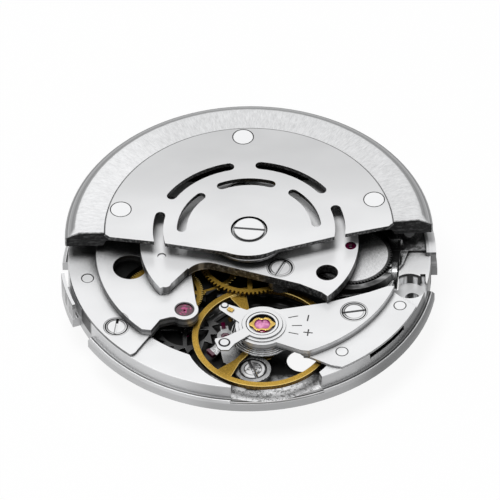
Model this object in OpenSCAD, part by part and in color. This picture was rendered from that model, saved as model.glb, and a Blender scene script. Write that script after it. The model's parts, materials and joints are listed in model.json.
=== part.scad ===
// Self-winding mechanical watch movement, 26 mm across the flange.
// Millimetres. The finished part stands with the dial seat on z = 0, the rotor
// above it and the winding stem's axis along +X. The train side is drawn as the
// photograph shows it, from the flange's lower edge, then turned and lifted.

/* [Main plate] */
// Flange radius
flange_r = 13.0; // [12.9:0.05:13.1]
// Flange thickness
flange_h = 0.667; // [0.5:0.01:0.8]
// Radius of the casing band above the flange
band_r = 12.57; // [12.5:0.01:12.65]
// Top of the main plate above the flange's lower edge
plate_top = 1.85; // [1.8:0.01:1.9]
// Depth from the flange's lower edge to the dial seat
seat_drop = 1.0; // [0.95:0.01:1.1]
// Radius of the plate below the flange
dial_r = 12.0; // [11.9:0.05:12.1]
// Angle from the drawing's X axis to the stem
stem_az = 4.5; // [4:0.1:5]
// Height of the stem axis above the flange's lower edge
stem_z = 0.75; // [0.7:0.01:0.8]
// Radius of the stem bore
stem_bore_r = 0.6; // [0.55:0.01:0.65]

/* [Bridges] */
// Outer ledge of the bridges, top
ledge_top = 2.08; // [2.05:0.01:2.15]
// Raised part of the bridges, top
bridge_top = 2.65; // [2.6:0.01:2.66]
// Radius of the step between ledge and raised part
step_r = 10.62; // [10.5:0.01:10.7]
// Automatic bridge, underside
auto_low = 2.7; // [2.7:0.01:2.72]
// Automatic bridge, top
auto_top = 3.38; // [3.3:0.01:3.4]
// Automatic bridge, outer radius
auto_r = 7.55; // [7.4:0.01:7.6]

/* [Rotor] */
// Outer radius of the weight
weight_r = 12.73; // [12.6:0.01:12.75]
// Top of the weight
weight_top = 4.6; // [4.55:0.01:4.62]
// Underside of the weight's outer part
weight_low = 3.28; // [3.25:0.01:3.4]
// Radius of the rotor plate
plate_r = 9.96; // [9.9:0.01:10]
// Top of the rotor plate
rotor_top = 4.66; // [4.65:0.01:4.7]
// Thickness of the rotor plate
rotor_th = 0.33; // [0.3:0.01:0.35]
// Rest angle of the rotor
rotor_az = 2.1; // [0:0.1:5]
// Rivet radius
rivet_r = 0.7; // [0.65:0.01:0.75]

/* [Oscillator] */
// Balance rim outer radius
rim_r = 4.85; // [4.7:0.01:4.88]
// Balance rim width
rim_w = 0.43; // [0.35:0.01:0.5]
// Balance rim underside
rim_low = 1.28; // [1.27:0.01:1.3]
// Balance rim thickness
rim_h = 0.38; // [0.3:0.01:0.39]
// Hairspring turns
spring_turns = 10; // [8:1:12]

/* [Hands] */
// Hour wheel pipe radius
hour_post_r = 0.75; // [0.74:0.01:0.76]
// Cannon pinion radius where the minute hand sits
minute_post_r = 0.44; // [0.43:0.005:0.445]
// Seconds arbor radius where the seconds hand sits
second_post_r = 0.1; // [0.09:0.01:0.105]

/* [Fits] */
// Radial clearance of running pivots
run_gap = 0.03; // [0.02:0.01:0.04]
// Distance between the teeth of two wheels in mesh
mesh_gap = 0.03; // [0.02:0.01:0.05]

/* [Hidden] */
$fn = 64;
centre = [0, 0];
balance_at = [0.82, -7.38];
pallet_at = [-1.72, -6.78];
escape_at = [-4.52, -5.68];
fourth_at = [-5.95, -3.08];
third_at = [-3.97, 0.35];
barrel_at = [3.924, 3.924];
crown_at = [7.0, -0.45];
reverser_at = [1.0, 3.05];
reduction_at = [3.9, 0.9];
minute_at = [1.9, -0.95];
setting_at = [5.2, -0.55];
click_at = [0.5, 5.6];
spring_foot = [-1.7, 6.9];
bearing_hub_r = 2.65;
centre_tip = 3.57;
third_tip = 3.53;
fourth_tip = 2.74;
escape_tip = 2.42;
barrel_tip = 4.8;
crown_tip = 2.87;
ratchet_tip = norm(barrel_at - crown_at) - crown_tip - mesh_gap;
third_leaf = norm(third_at) - centre_tip - mesh_gap;
second_leaf = norm(third_at) - third_tip - mesh_gap;
fourth_leaf = norm(third_at - fourth_at) - third_tip - mesh_gap;
escape_leaf = norm(escape_at - fourth_at) - fourth_tip - mesh_gap;
centre_leaf = norm(barrel_at) - barrel_tip - mesh_gap;
rotor_leaf = 1.1;
reverser_tip = norm(reverser_at) - rotor_leaf - mesh_gap;
reverser_leaf = 0.5;
reduction_tip = norm(reverser_at - reduction_at) - reverser_leaf - mesh_gap;
reduction_leaf = norm(reduction_at - crown_at) - crown_tip - mesh_gap;
cannon_leaf = 0.54;
cannon_r = 0.595;
seconds_r = 0.12;
seconds_foot_r = 0.26;
foot_ring = 11.2;
clamp_pocket = [11.02, -2.94];
clamp_at = [11.2, -3.19];
clamp_floor = 0.92;
arm_low = 2.22;
head_r = 0.78;
left_head_r = 0.72;
head_gap = 0.07;
stud_az = 146.5;
stud_ring = 2.6;
index_pin_az = 214.3;
index_pin_ring = 3.17;
tab_r = 12.2;
minute_tip = norm(minute_at) - cannon_leaf - mesh_gap;
minute_leaf = 0.44;
hour_tip = norm(minute_at) - minute_leaf - mesh_gap;
setting_tip = norm(setting_at - minute_at) - minute_tip - mesh_gap;
recess_r = 5.38;
screw_l = [-9.22, -6.74];
pin_l = [-11.2, -2.0];
cock_screw_at = [7.14, -6.13];
pin_r1 = [10.32, -5.02];
pin_r2 = [6.26, -9.38];
auto_screws = [[2.13, -2.5], [-5.4, 3.6], [-0.6, 5.0]];
barrel_screws = [[-7.2, 8.4], [1.96, 11.13], [10.7, 3.6]];
barrel_pins = [[-3.1, 10.9], [11.1, 2.0]];
auto_pin = [-6.05, -1.23];
yoke_post = [9.8, -3.6];
lever_post = [6.4, -2.6];
finger_x = 8.35;
ball_r = 0.18;
ball_ring = 1.36;
ball_z = 4.05;

// Turns and lifts the drawing into the finished frame
module placed() {
  translate([0, 0, seat_drop]) rotate([0, 0, stem_az]) children();
}

// Lifts what is drawn along the stem axis
module lifted() {
  translate([0, 0, seat_drop]) children();
}

module at(p, z = 0) {
  translate([p[0], p[1], z]) children();
}

// A disc between two heights
module disc(p, r, z0, z1) {
  translate([p[0], p[1], z0]) cylinder(r = r, h = z1 - z0);
}

// A ring between two heights
module ring(p, r_in, r_out, z0, z1) {
  difference() {
    disc(p, r_out, z0, z1);
    disc(p, r_in, z0 - 0.1, z1 + 0.1);
  }
}

// A wedge of a full disc, from angle a0 to a1
module wedge2d(r, a0, a1) {
  step = (a1 - a0) / 6;
  polygon(concat([[0, 0]], [for (i = [0:6]) r * 1.1 * [cos(a0 + i * step), sin(a0 + i * step)]]));
}

module arc2d(r_in, r_out, a0, a1) {
  intersection() {
    difference() {
      circle(r = r_out);
      circle(r = r_in);
    }
    wedge2d(r_out, a0, a1);
  }
}

module arc3d(r_in, r_out, a0, a1, z0, z1) {
  translate([0, 0, z0]) linear_extrude(height = z1 - z0) arc2d(r_in, r_out, a0, a1);
}

// A curved slot with round ends
module slot2d(r_in, r_out, a0, a1) {
  rm = (r_in + r_out) / 2;
  w = (r_out - r_in) / 2 - 0.01;
  arc2d(r_in, r_out, a0, a1);
  rotate(a0) translate([rm, 0]) circle(r = w);
  rotate(a1) translate([rm, 0]) circle(r = w);
}

// Toothed outline with n teeth
module teeth2d(tip, root, n, top_part = 0.3, foot_part = 0.62) {
  parts = [-foot_part, -top_part, top_part, foot_part];
  radii = [root, tip, tip, root];
  polygon([for (i = [0:n - 1]) for (k = [0:3])
    radii[k] * [cos(360 / n * (i + parts[k] / 2)), sin(360 / n * (i + parts[k] / 2))]]);
}

// Toothed outline with leaning teeth
module saw2d(tip, root, n) {
  polygon([for (i = [0:n - 1]) for (k = [0:2])
    [root, tip, root][k] * [cos(360 / n * (i + [0, 0.15, 0.9][k])),
    sin(360 / n * (i + [0, 0.15, 0.9][k]))]]);
}

// Windows between the arms of a wheel
module windows2d(r_out, r_in, arms, arm_w) {
  difference() {
    circle(r = r_out);
    circle(r = r_in);
    for (i = [0:arms - 1])
      rotate(360 / arms * i) translate([0, -arm_w / 2]) square([r_out + 1, arm_w]);
  }
}

// A train wheel: rim, arms, hub, pinion and arbor in one piece
module train_wheel(tip, depth, n, z, th, arms, leaf, leaves, lz0, lz1, az0, az1, ar = 0.12) {
  difference() {
    translate([0, 0, z]) linear_extrude(height = th) difference() {
      teeth2d(tip, tip - depth, n);
      windows2d(tip - depth - 0.28, 0.62, arms, 0.34);
    }
  }
  translate([0, 0, min(lz0, z)]) cylinder(r = max(leaf - 0.1, ar + 0.02), h = max(lz1, z + th) - min(lz0, z));
  translate([0, 0, lz0]) linear_extrude(height = lz1 - lz0) teeth2d(leaf, leaf - 0.1, leaves, 0.3, 0.6);
  translate([0, 0, az0]) cylinder(r = ar, h = az1 - az0);
}

// A slotted screw: head top at z, shank below
module screw(p, r, z, head_h, shank_r, shank_h, slot_az = 0) {
  at(p) difference() {
    union() {
      translate([0, 0, z - head_h]) cylinder(r = r, h = head_h);
      translate([0, 0, z - head_h - shank_h]) cylinder(r = shank_r, h = shank_h + 0.01);
    }
    translate([0, 0, z - 0.18]) rotate(slot_az) translate([-r - 0.1, -0.09, 0])
      cube([2 * r + 0.2, 0.18, 0.3]);
  }
}

// The bores that a screw needs: head pocket and shank hole
module screw_bore(p, r, z, head_h, shank_r, shank_h) {
  disc(p, r + head_gap, z - head_h, z + 1);
  disc(p, shank_r, z - head_h - shank_h - 0.02, z);
}

module main_body() {
  rotate_extrude() polygon([[0, -seat_drop], [dial_r, -seat_drop], [dial_r, 0], [flange_r, 0],
    [flange_r, flange_h - 0.04], [flange_r - 0.04, flange_h],
    [band_r + 0.28, flange_h + 0.1], [band_r, flange_h + 0.14], [band_r, plate_top - 0.04],
    [band_r - 0.04, plate_top], [0, plate_top]]);
  tab_left();
  tab_right();
}

// Tab that stands up at the left of the flange's edge; the notches beside it cut its two ends
module tab_left() {
  arc3d(flange_r - 0.1, flange_r + 0.12, 186, 202, 0, plate_top + 0.35);
}

// Tab at the right of it, grown for the cut beside it
module tab_right(grow = 0) {
  arc3d(tab_r + 0.05 - grow, flange_r - 0.08, -0.3 - 4 * grow, 10 + 4 * grow, 0, ledge_top + 0.14);
}

module main_pockets() {
  // balance, with the opening through the band
  disc(balance_at, recess_r, 0.3, 3);
  arc3d(11.4, 14, -96.4, -67.2, flange_h, 3);
  disc(balance_at, 4.2, 0.12, 3);
  // escape wheel and pallet fork
  disc(escape_at, escape_tip + 0.2, 0.45, 3);
  translate([0, 0, 0.45]) linear_extrude(height = 3) intersection() {
    circle(r = 10.2);
    polygon([[-7.4, -7.0], [-5.6, -9.6], [-2.6, -11.0], [-1.0, -8.0], [-1.4, -5.2], [-6.5, -6.2]]);
  }
  // train
  disc(fourth_at, fourth_tip + 0.18, 1.12, 3);
  disc(third_at, third_tip + 0.15, 1.12, 3);
  disc(centre, centre_tip + 0.18, 1.0, 3);
  disc(centre, 1.0, -0.1, 3);
  disc(barrel_at, barrel_tip + 0.15, -0.1, 3);
}

module dial_pockets() {
  // motion work
  disc(centre, hour_tip + 0.15, -1.1, -0.45);
  disc(minute_at, minute_tip + 0.15, -1.1, -0.45);
  disc(setting_at, setting_tip + 0.15, -1.1, -0.45);
}

module keyless_pockets() {
  // stem bore, winding pinion, sliding pinion and the levers below
  translate([8, 0, stem_z]) rotate([0, 90, 0]) cylinder(r = stem_bore_r, h = 6);
  translate([9.0, -1.6, -1.1]) cube([1.4, 3.2, 4.2]);
  translate([7.1, -0.95, -1.1]) cube([2.0, 1.9, 3.2]);
  translate([5.0, -4.7, -1.1]) cube([5.6, 5.7, 0.62]);
  translate([4.6, -5.1, -1.1]) cube([6.0, 3.9, 0.2]);
}

module main_plate() {
  color("silver") difference() {
    union() {
      placed() difference() {
        main_body();
        main_pockets();
        dial_pockets();
        // notches of the flange and the band
        arc3d(band_r, 14, -11, -0.3, -2, 3);
        arc3d(band_r, 14, 201, 210.5, -2, 3);
        arc3d(band_r, 14, 176, 187, -2, 3);
        // round pocket beside the stem, with a slot in its wall and the clamp hole in its floor
        disc(clamp_pocket, 1.2, clamp_floor, 3);
        translate([11.78, -2.7, clamp_floor]) cube([0.36, 0.9, 2]);
        disc(clamp_at, 0.5, 0.1, 3);
        // slot in the band under the cock
        arc3d(11.9, 13, -49.4, -32.8, plate_top - 0.42, 3);
        // round hole through the plate
        disc([3.56, -8.3], 1.09, -2, 3);
        disc([3.56, -7.7], 1.7, -2, -0.02);
        // pivots, arbors, screws and pins
        disc(centre, 0.45, -2, 1);
        disc(barrel_at, 0.5 + run_gap, -2, 1);
        for (p = [third_at, fourth_at, escape_at, pallet_at]) disc(p, 0.4, -0.4, 2);
        disc(balance_at, 0.9, -1.1, 2);
        disc(minute_at, 0.2, -0.5, 0.1);
        for (p = [screw_l, cock_screw_at]) disc(p, 0.5, -0.2, 3);
        for (p = barrel_screws) disc(p, 0.5, -0.2, 3);
        for (p = [pin_l, pin_r1, pin_r2]) disc(p, 0.4, 0.6, 3);
        for (p = barrel_pins) disc(p, 0.4, 0.6, 3);
        disc([0.14, -10.0], 0.3, -0.4, 2);
        // dial feet
        rotate([0, 0, -stem_az]) for (a = [120, 300]) disc(foot_ring * [cos(a), sin(a)], 0.4, -1.1, -0.15);
      }
    }
    lifted() keyless_pockets();
  }
  // posts of the keyless levers and of the setting wheel
  color("silver") lifted() {
    disc(yoke_post, 0.25, -0.88, -0.4);
    disc(lever_post, 0.25, -0.66, -0.4);
  }
  color("silver") placed() disc(setting_at, 0.2, -0.75, -0.4);
}

module train_bridge() {
  color("silver") placed() difference() {
    union() {
      // ledge
      translate([0, 0, plate_top]) linear_extrude(height = ledge_top - plate_top) intersection() {
        circle(r = band_r - 0.03);
        union() {
          polygon([[-13, 1.5], [-13, -8.2], [-9.6, -9.4], [-8.2, -9.25], [-7.8, -9.0], [-6.84, -7.48],
            [-5, -5], [-4.1, 1.5]]);
          translate([-8.45, -8.75]) circle(r = 0.7);
        }
      }
      // raised part
      translate([0, 0, plate_top]) linear_extrude(height = bridge_top - plate_top) {
        intersection() {
          circle(r = step_r);
          polygon([[-11, 1.5], [-11, -7], [-6.83, -7.66], [-6.21, -6.66], [-5.52, -6.43],
            [-4.6, -6.4], [-3.62, -5.6], [-3.75, -4.82], [-4.05, -2.09], [-4.05, 1.5]]);
        }
        translate([-4.52, -5.72]) circle(r = 0.96);
        translate(third_at) circle(r = 0.9);
      }
    }
    // room for the wheels under it
    disc(fourth_at, fourth_tip + 0.18, 1.5, 2.1);
    disc(third_at, third_tip + 0.15, 1.5, 2.1);
    disc(centre, centre_tip + 0.12, 1.5, 2.1);
    disc(centre, 1.2, 1.5, 2.8);
    disc([-8.26, -1.53], 1.18, 1, 4);
    for (p = [third_at, fourth_at]) disc(p, 0.42, 2.0, 3);
    disc(escape_at, 0.62, 1.5, 3);
    screw_bore(screw_l, left_head_r, ledge_top + 0.01, 0.17, 0.5, 2);
    disc(pin_l, 0.4, 1, 3);
    disc(auto_pin, 0.3, 2.2, 3);
  }
}

module barrel_bridge() {
  color("silver") placed() disc(click_at, 0.2, 2.1, 2.42);
  color("silver") placed() difference() {
    union() {
      // ledge at the back
      translate([0, 0, plate_top]) linear_extrude(height = ledge_top - plate_top) difference() {
        intersection() {
          circle(r = band_r - 0.03);
          polygon([[-13, 1.62], [-3.9, 1.62], [-3.9, -0.9], [3.6, -0.9], [6.0, -4.2], [8.0, -3.8],
            [9.6, -2.5], [10.6, -1.0], [11.0, 0.3], [13, 0.3], [13, 13], [-13, 13]]);
        }
      }
      translate([0, 0, plate_top]) linear_extrude(height = bridge_top - plate_top) {
        intersection() {
          circle(r = step_r);
          polygon([[-11, 1.62], [-3.9, 1.62], [-3.9, -0.9], [2.6, -0.9], [3.6, 0.3], [11.0, 0.3],
            [11, 11], [-11, 11]]);
        }
        // lobe under the automatic bridge's front screw
        translate(auto_screws[0]) circle(r = 0.95);
        polygon([[1.2, -0.8], [3.1, -0.8], [3.08, -2.5], [1.18, -2.5]]);
      }
      // wall round the crown wheel
      disc(crown_at, 3.42, plate_top, bridge_top - 0.1);
    }
    // recesses of the crown and ratchet wheels
    disc(crown_at, crown_tip + 0.13, 2.22, 4);
    disc(barrel_at, ratchet_tip + 0.15, 2.15, 4);
    disc(reduction_at, reduction_tip + 0.15, 2.48, 4);
    disc(reduction_at, 0.75, 2.22, 4);
    disc(reduction_at, 0.12 + run_gap, 2.0, 4);
    disc(reverser_at, 0.7, 2.3, 4);
    // click and its spring
    disc(click_at, 0.62, 2.2, 4);
    disc(spring_foot, 0.37, 2.2, 4);
    translate([0, 0, 2.2]) linear_extrude(height = 2) {
      polygon([[0.2, 6.1], [0.2, 5.1], [1.3, 5.05], [2.3, 5.4], [2.4, 6.2], [1.2, 6.3]]);
      polygon([[-1.75, 6.65], [-1.75, 7.15], [1.3, 6.45], [1.2, 6.0]]);
    }
    // room for the wheels under it
    disc(centre, centre_tip + 0.12, 1.5, 2.02);
    disc(third_at, third_tip + 0.15, 1.5, 2.02);
    disc(centre, 1.0, 1.5, 2.2);
    disc(centre, seconds_r + run_gap, 1.5, 3);
    disc(third_at, 1.0, 1.5, 4);
    disc(barrel_at, 0.5 + run_gap, 1, 3);
    disc(crown_at, 0.4 + run_gap, 1.9, 3);
    disc(reverser_at, 0.12 + run_gap, 2.1, 3);
    for (p = barrel_screws) screw_bore(p, head_r, ledge_top + 0.01, 0.17, 0.5, 2);
    tab_right(0.02);
    for (p = barrel_pins) disc(p, 0.4, 1, 3);
    for (p = auto_screws) disc(p, 0.3, 2.1, 3);
    // opening over the winding pinion
    rotate([0, 0, -stem_az]) translate([9.0, -1.6, 1]) cube([1.4, 3.2, 3]);
  }
}

module auto2d() {
  difference() {
    circle(r = auto_r);
    // waist under the left arm
    translate([-2.98, -3.42]) circle(r = 1.52);
    polygon([[-5.45, -3.95], [-4.28, -2.46], [-2.98, -3.4], [-2.45, -1.98], [3.45, -4.1], [4.95, -4.95],
      [5.3, -5.3], [5.3, -9], [-6.3, -9], [-6.2, -4.35]]);
    // cut back behind
    translate([-9, 6.0]) square([18, 4]);
  }
  translate([-5.82, -3.86]) circle(r = 0.4);
}

module automatic_bridge() {
  color("silver") placed() difference() {
    union() {
      translate([0, 0, auto_low]) linear_extrude(height = auto_top - auto_low) auto2d();
      for (p = auto_screws) disc(p, 0.6, bridge_top, auto_low);
    }
    for (p = auto_screws) screw_bore(p, head_r, auto_top, 0.25, 0.3, 2);
    disc(centre, 0.5, 2.5, 4);
    disc([5.33, -3.04], 0.76, 2.5, 4);
    disc(auto_pin, 0.3, 2.5, 4);
    disc(crown_at, 0.38, 2.5, 4);
    disc(reverser_at, reverser_leaf - 0.1 + run_gap, 2.5, 4);
    disc(reverser_at, reverser_leaf + 0.06, 2.5, 2.8);
    disc(reduction_at, 0.12 + run_gap, 2.5, 3.2);
    // pocket for the reduction wheel's rim
    disc(reduction_at, reduction_tip + 0.1, 2.6, 2.8);
  }
}

// A short straight mark cut into the cock's top
module mark(p, az, len, w) {
  at(p, bridge_top - 0.05) rotate(az) translate([-len / 2, -w / 2, 0]) cube([len, w, 0.2]);
}

module balance_cock() {
  color("silver") placed() difference() {
    union() {
      // foot and ledge
      translate([0, 0, plate_top]) linear_extrude(height = ledge_top - 0.03 - plate_top) intersection() {
        circle(r = band_r - 0.05);
        polygon([[9.93, -3.7], [10.68, -4.49], [11.25, -5.0], [12.2, -5.3], [9, -12], [6.5, -11.2],
          [6.17, -10.82], [5.5, -10.66], [3.58, -9.58], [3.42, -9.42], [3.45, -8.9], [5.2, -7.0], [5.4, -5.3],
          [8.3, -4.28]]);
      }
      // raised part
      translate([0, 0, plate_top]) linear_extrude(height = bridge_top - plate_top) intersection() {
        circle(r = step_r);
        polygon([[5.5, -5.18], [8.27, -4.26], [9.52, -3.71], [11, -3.71], [11, -9], [6, -10.2], [5.4, -9.6]]);
      }
      // arm over the balance, deeper where it stands on the ledge
      translate([0, 0, arm_low]) linear_extrude(height = bridge_top - arm_low) {
        intersection() {
          circle(r = step_r);
          polygon([[0.9, -5.55], [2.05, -5.84], [5.6, -5.18], [6.2, -10.2], [3.45, -9.77], [2.7, -9.42],
            [1.74, -8.97], [0.9, -9.2]]);
        }
        translate(balance_at) circle(r = 1.85);
      }
      translate([0, 0, 1.9]) linear_extrude(height = arm_low + 0.1 - 1.9) intersection() {
        circle(r = step_r);
        polygon([[5.2, -7.0], [5.6, -5.18], [6.2, -10.2], [3.62, -9.8], [3.55, -8.9]]);
      }
    }
    disc(balance_at, 1.1, 2.3, 3);
    disc(balance_at, 0.5, 2, 3);
    screw_bore(cock_screw_at, head_r, bridge_top, 0.3, 0.5, 2);
    for (p = [pin_r1, pin_r2]) disc(p, 0.4, 1, 3);
    // regulating marks: short lines, a minus and a plus
    for (p = [[2.95, -6.56, 14], [3.2, -7.41, 0], [2.95, -8.15, -16]]) mark(p, p[2], 0.7, 0.08);
    mark([3.97, -6.7], 80, 0.6, 0.1);
    for (a = [0, 90]) mark([3.95, -8.1], a - 8, 0.64, 0.1);
  }
}

module pallet_bridge() {
  color("silver") placed() difference() {
    union() {
      translate([0, 0, 0.86]) linear_extrude(height = 0.24) union() {
        translate([0.14, -10.0]) circle(r = 1.25);
        translate(pallet_at) circle(r = 0.6);
        polygon([[-2.3, -6.75], [-1.15, -6.65], [-0.75, -8.4], [1.3, -9.6], [0.3, -11.2], [-1.9, -9.3]]);
      }
      disc([0.14, -10.0], 1.1, 0.12, 0.9);
    }
    disc(pallet_at, 0.3, 0, 2);
    screw_bore([0.14, -10.0], 0.9, 1.12, 0.2, 0.3, 1.4);
    // room for the lower roller
    disc(balance_at, 0.95, 0, 3);
  }
}

module bridge_screws() {
  color("silver") placed() {
    screw(screw_l, left_head_r, ledge_top + 0.01, 0.17, 0.49, 1.8, 82);
    screw(cock_screw_at, head_r, bridge_top + 0.01, 0.3, 0.49, 2.2, 9);
    for (p = barrel_screws) screw(p, head_r, ledge_top + 0.01, 0.17, 0.49, 1.8, 30);
  }
}

module automatic_screws() {
  color("silver") placed() {
    screw(auto_screws[0], head_r, auto_top - 0.01, 0.24, 0.29, 1.0, 65);
    for (p = [auto_screws[1], auto_screws[2]]) screw(p, head_r, auto_top - 0.01, 0.24, 0.29, 1.0, 20);
  }
}

module pallet_screws() {
  color("silver") placed() screw([0.14, -10.0], 0.85, 1.1, 0.18, 0.29, 1.2, 108);
}

module locating_pins() {
  color("silver") placed() {
    for (p = [pin_l, pin_r1, pin_r2]) disc(p, 0.39, 0.7, ledge_top - 0.02);
    for (p = barrel_pins) disc(p, 0.39, 0.7, ledge_top - 0.02);
    disc(auto_pin, 0.29, 2.22, auto_top - 0.1);
  }
}

module jewel(p, r, bore, z0, z1) {
  ring(p, bore, r, z0, z1);
}

module plate_jewels() {
  color("crimson") placed() {
    for (p = [third_at, fourth_at, escape_at, pallet_at]) jewel(p, 0.39, 0.09, -0.4, -0.1);
  }
}

module bridge_jewels() {
  color("crimson") placed() {
    jewel(third_at, 0.41, 0.09, 2.15, bridge_top);
    jewel(fourth_at, 0.41, 0.09, 2.15, bridge_top);
    jewel(escape_at, 0.6, 0.09, 2.1, bridge_top - 0.1);
    jewel(pallet_at, 0.29, 0.09, 0.88, 1.08);
  }
}

module automatic_jewel() {
  color("crimson") placed() jewel(crown_at, 0.37, 0.12 + 0.02, 2.9, auto_top - 0.08);
}

module lower_shock() {
  color("gold") placed() difference() {
    disc(balance_at, 0.89, -0.9, 0.12);
    disc(balance_at, 0.1, -0.2, 1);
    disc(balance_at, 0.6, -1, -0.75);
  }
}

module shock_block() {
  color("gold") placed() difference() {
    union() {
      disc(balance_at, 1.09, 2.3, 2.86);
      disc(balance_at, 0.49, 2.1, 2.4);
    }
    disc(balance_at, 0.92, 2.6, 3);
    disc(balance_at, 0.1, 2, 2.45);
    disc(balance_at, 0.55, 2.45, 3);
  }
}

module shock_spring() {
  color("gold") placed() translate([balance_at[0], balance_at[1], 2.73]) linear_extrude(height = 0.05) {
    difference() {
      union() {
        circle(r = 0.62);
        translate([-0.9, -0.12]) square([0.5, 0.24]);
        rotate(8) translate([0.4, 0.06]) square([0.48, 0.14]);
        rotate(-8) translate([0.4, -0.2]) square([0.48, 0.14]);
      }
      circle(r = 0.46);
      translate([0.4, -0.07]) square([0.6, 0.14]);
    }
  }
}

module cap_jewel() {
  color("hotpink") placed() disc(balance_at, 0.54, 2.45, 2.73);
}

module arm2d(az, len, w0, w1) {
  rotate(az) polygon([[0.9, -w0], [len, -w1], [len, w1], [0.9, w0]]);
  rotate(az) translate([len, 0]) circle(r = w1);
}

module stud_carrier() {
  color("silver") placed() at(balance_at, bridge_top) {
    linear_extrude(height = 0.1) difference() {
      union() {
        circle(r = 1.62);
        arm2d(stud_az, 3.1, 0.75, 0.38);
      }
      circle(r = 1.12);
      rotate(stud_az) translate([stud_ring, 0]) circle(r = 0.2);
    }
    rotate(stud_az - 3) translate([3.2, 0, 0.05]) cylinder(r = 0.22, h = 0.11);
  }
}

module regulator_index() {
  color("silver") placed() at(balance_at, bridge_top + 0.11) linear_extrude(height = 0.11)
    difference() {
      union() {
        circle(r = 1.42);
        polygon([[-1.3, -0.42], [-2.31, -1.07], [-2.74, -1.28], [-3.26, -1.36], [-3.3, -1.6],
          [-3.08, -2.32], [-2.84, -2.53], [-2.32, -2.54], [-1.89, -1.92], [-0.85, -1.08]]);
      }
      circle(r = 1.12);
      rotate(index_pin_az) translate([index_pin_ring, 0]) circle(r = 0.31);
    }
}

module hairspring_stud() {
  color("gold") placed() at(balance_at) rotate(stud_az) translate([stud_ring, 0, 0]) {
    translate([0, 0, 1.8]) cylinder(r = 0.19, h = 0.97);
    translate([-0.22, -0.15, 2.76]) cube([0.44, 0.3, 0.1]);
  }
}

module regulator_pin() {
  color("silver") placed() at(balance_at) {
    rotate(index_pin_az) translate([index_pin_ring, 0, 2.64]) cylinder(r = 0.3, h = 0.26);
    // two thin pins on either side of the hairspring's outer turn
    rotate(213) for (r = [2.083, 2.223]) translate([r, 0, 1.82]) cylinder(r = 0.035, h = 0.93);
    rotate(213) translate([2.03, -0.15, 2.64]) cube([0.95, 0.3, 0.11]);
  }
}

module bearing_core() {
  color("silver") placed() difference() {
    union() {
      disc(centre, 0.49, 2.75, 3.9);
      disc(centre, 0.8, auto_top, 4.0);
      disc(centre, 1.2, 3.9, rotor_top - 0.16);
    }
    at(centre, ball_z) rotate_extrude() translate([ball_ring, 0]) circle(r = ball_r + 0.02);
    disc(centre, 0.3, 2.5, 5);
  }
}

module rotor_screw() {
  color("silver") placed() screw(centre, 1.06, rotor_top + 0.04, 0.2, 0.29, 1.3, 173);
}

module rotor2d() {
  difference() {
    intersection() {
      circle(r = plate_r);
      union() {
        polygon([[-9.62, -0.22], [-6.66, -0.82], [-5.72, -1.08], [-1.72, -2.12], [-1.2, 0], [1.2, 0],
          [1.72, -2.12], [5.72, -1.08], [6.66, -0.82], [9.62, -0.22], [9.9, 0.05], [10.5, 0.3],
          [10.5, 10.5], [-10.5, 10.5], [-10.5, 0.3], [-9.9, 0.05]]);
        intersection() {
          translate([0, 0.94]) circle(r = 3.51);
          translate([-1.72, -3]) square([3.44, 3]);
        }
      }
    }
    circle(r = 1.27);
    // curved slots
    for (a = [31.6 + 3, 97 + 3]) slot2d(5.94, 6.65, a, a + 51.6 - 6);
    for (a = [3.8, 68.5, 133]) slot2d(4.33, 5.0, a, a + 43);
    slot2d(5.94, 6.65, -30, 15.5);
    slot2d(5.94, 6.65, 164.5, 210);
    // rivet holes
    for (a = [90 - 74.5, 90, 90 + 74.5]) translate(9.1 * [cos(a), sin(a)]) circle(r = rivet_r);
  }
}

module rotor_plate() {
  color("silver") placed() rotate([0, 0, rotor_az])
    translate([0, 0, rotor_top - rotor_th]) linear_extrude(height = rotor_th) rotor2d();
}

module rotor_weight() {
  color("silver") placed() rotate([0, 0, rotor_az]) intersection() {
    rotate_extrude() polygon([[8.3, 3.75], [9.9, 3.75], [10.1, weight_low], [weight_r - 0.06, weight_low],
      [weight_r, weight_low + 0.06], [weight_r, 4.1], [11.75, weight_top], [plate_r + 0.02, weight_top],
      [plate_r + 0.02, rotor_top - rotor_th], [8.3, rotor_top - rotor_th]]);
    difference() {
      translate([0, 0, 3]) linear_extrude(height = 2) wedge2d(14, 1.6, 178.4);
      for (a = [90 - 74.5, 90, 90 + 74.5]) disc(9.1 * [cos(a), sin(a)], rivet_r, 3, 5);
    }
  }
}

module rotor_rivets() {
  color("silver") placed() rotate([0, 0, rotor_az])
    for (a = [90 - 74.5, 90, 90 + 74.5]) disc(9.1 * [cos(a), sin(a)], rivet_r - 0.01, 3.74, rotor_top + 0.01);
}

module rotor_hub() {
  color("silver") placed() rotate([0, 0, rotor_az]) difference() {
    union() {
      disc(centre, 2.2, 3.66, rotor_top - rotor_th);
      disc(centre, bearing_hub_r, 4.05, 4.25);
      translate([0, 0, 3.44]) linear_extrude(height = 0.23) teeth2d(rotor_leaf, rotor_leaf - 0.14, 20);
    }
    disc(centre, 1.25, 3.85, 5);
    disc(centre, 0.83, 3, 5);
    at(centre, ball_z) rotate_extrude() translate([ball_ring, 0]) circle(r = ball_r + 0.02);
  }
}

module bearing_balls() {
  color("silver") placed() for (a = [0:60:300])
    translate([ball_ring * cos(a), ball_ring * sin(a), ball_z]) sphere(r = ball_r);
}

module reverser_wheel() {
  color("silver") placed() at(reverser_at) {
    train_wheel(reverser_tip, 0.14, 38, 3.44, 0.14, 4, reverser_leaf, 10, 2.4, 2.74, 2.15, 3.7);
  }
}

module reduction_wheel() {
  color("silver") placed() at(reduction_at) {
    train_wheel(reduction_tip, 0.12, 62, 2.62, 0.08, 4, reduction_leaf, 12, 2.26, 2.6, 2.04, 3.1);
  }
}

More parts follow.
